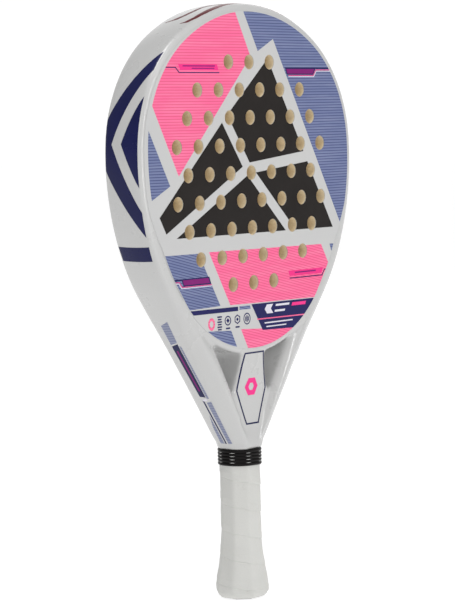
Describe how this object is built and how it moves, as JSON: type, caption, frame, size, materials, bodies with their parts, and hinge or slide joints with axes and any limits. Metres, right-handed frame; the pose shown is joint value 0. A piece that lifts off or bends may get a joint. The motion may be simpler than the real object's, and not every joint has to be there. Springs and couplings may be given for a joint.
{
  "type": "padel racket",
  "caption": "Solid-faced padel racket with a drilled foam head, open throat windows, ribbed collar and wrapped octagonal handle.",
  "frame": {"origin": "centre of the flat end of the handle", "axes": "+X across the head, +Y from the front hitting face to the back one, +Z from the butt to the top of the head"},
  "size_m": [0.2526, 0.0394, 0.455],
  "materials": {
    "white_paint": "pearl white lacquer on moulded composite, glossy",
    "printed_skin": "printed and lacquered fibreglass, satin, fine ribbed print",
    "eva_foam": "matt closed-cell foam, cut walls",
    "fill_foam": "matt rigid foam",
    "pallet_shell": "moulded polyurethane, matt",
    "cushion_tape": "soft matt polyurethane tape",
    "white_wrap": "tacky synthetic overgrip, fine grain",
    "vinyl_tape": "thin electrical-type tape",
    "black_rubber": "semi-gloss ribbed rubber",
    "cap_plastic": "moulded plastic, satin",
    "steel": "zinc-plated steel"
  },
  "bodies": {
    "root": {"frame_tube": "white_paint", "throat_bridge": "white_paint", "heart_yoke": "white_paint", "front_face": "printed_skin", "back_face": "printed_skin", "foam_core": "eva_foam", "frame_foam": "fill_foam", "handle_core": "fill_foam", "pallet_front": "pallet_shell", "pallet_back": "pallet_shell", "base_grip": "cushion_tape", "overgrip": "white_wrap", "finishing_tape": "vinyl_tape", "rubber_collar": "black_rubber", "butt_cap": "cap_plastic", "cord_pin": "steel", "cap_screw_left": "steel", "cap_screw_right": "steel"}
  },
  "joints": []
}
